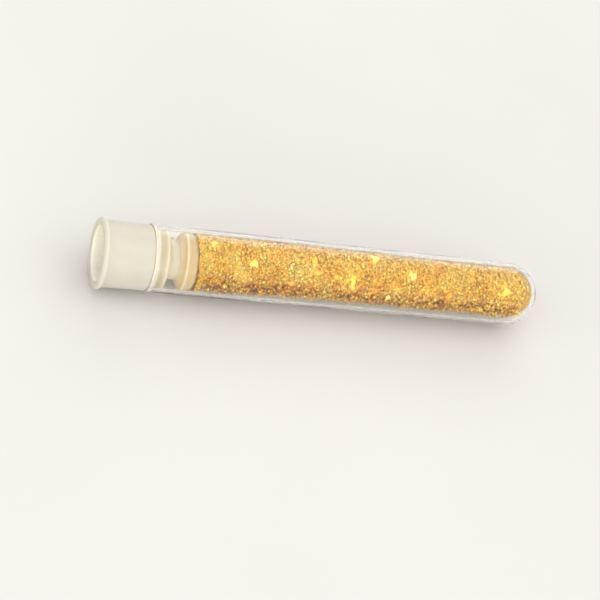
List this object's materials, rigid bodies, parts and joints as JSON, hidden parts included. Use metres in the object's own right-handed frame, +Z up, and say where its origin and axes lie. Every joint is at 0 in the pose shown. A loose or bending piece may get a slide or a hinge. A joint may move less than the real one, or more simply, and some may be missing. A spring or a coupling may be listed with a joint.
{
  "type": "gold sample vial",
  "caption": "Clear round-bottomed tube filled with loose gold flakes and closed by a hollow translucent push-in stopper with a flanged rim.",
  "frame": {"origin": "on the resting plane, under the middle of the closed vial", "axes": "+X along the tube's axis from the stopper towards the round end, +Z up, with the vial lying on its side"},
  "size_m": [0.0842, 0.0126, 0.0126],
  "materials": {
    "clear_tube": "clear moulded polystyrene, glossy",
    "milky_stopper": "natural low-density polyethylene, waxy and translucent",
    "gold_leaf": "crumpled gold leaf, bright",
    "gold_leaf_deep": "crumpled gold leaf, deep orange gold",
    "gold_leaf_pale": "crumpled gold leaf, pale lemon gold"
  },
  "bodies": {
    "tube": {"tube": "clear_tube"},
    "stopper": {"stopper": "milky_stopper"},
    "gold": {"gold_flake_bed": "gold_leaf_deep", "gold_flake_01": "gold_leaf", "gold_flake_02": "gold_leaf_deep", "gold_flake_03": "gold_leaf_pale", "gold_flake_04": "gold_leaf", "gold_flake_05": "gold_leaf_deep", "gold_flake_06": "gold_leaf_pale", "gold_flake_07": "gold_leaf", "gold_flake_08": "gold_leaf_deep", "gold_flake_09": "gold_leaf_pale", "gold_flake_10": "gold_leaf", "gold_flake_11": "gold_leaf_deep", "gold_flake_12": "gold_leaf_pale", "gold_flake_13": "gold_leaf", "gold_flake_14": "gold_leaf_deep", "gold_flake_15": "gold_leaf_pale", "gold_flake_16": "gold_leaf", "gold_flake_17": "gold_leaf_deep", "gold_flake_18": "gold_leaf_pale", "gold_flake_19": "gold_leaf", "gold_flake_20": "gold_leaf_deep", "gold_flake_21": "gold_leaf_pale", "gold_flake_22": "gold_leaf", "gold_flake_23": "gold_leaf_deep", "gold_flake_24": "gold_leaf_pale", "gold_flake_25": "gold_leaf", "gold_flake_26": "gold_leaf_deep", "gold_flake_27": "gold_leaf_pale", "gold_flake_28": "gold_leaf", "gold_flake_29": "gold_leaf_deep", "gold_flake_30": "gold_leaf_pale", "gold_flake_31": "gold_leaf", "gold_flake_32": "gold_leaf_deep", "gold_flake_33": "gold_leaf_pale", "gold_flake_34": "gold_leaf", "gold_flake_35": "gold_leaf_deep", "gold_flake_36": "gold_leaf_pale", "gold_flake_37": "gold_leaf", "gold_flake_38": "gold_leaf_deep", "gold_flake_39": "gold_leaf_pale", "gold_flake_40": "gold_leaf"}
  },
  "joints": [
    {"name": "stopper_pull", "type": "slide", "parent": "tube", "child": "stopper", "axis": [-1, 0, 0], "range_m": [0, 0.02]},
    {"name": "gold_shift", "type": "slide", "parent": "tube", "child": "gold", "axis": [-1, 0, 0], "range_m": [0, 0.0004]}
  ]
}
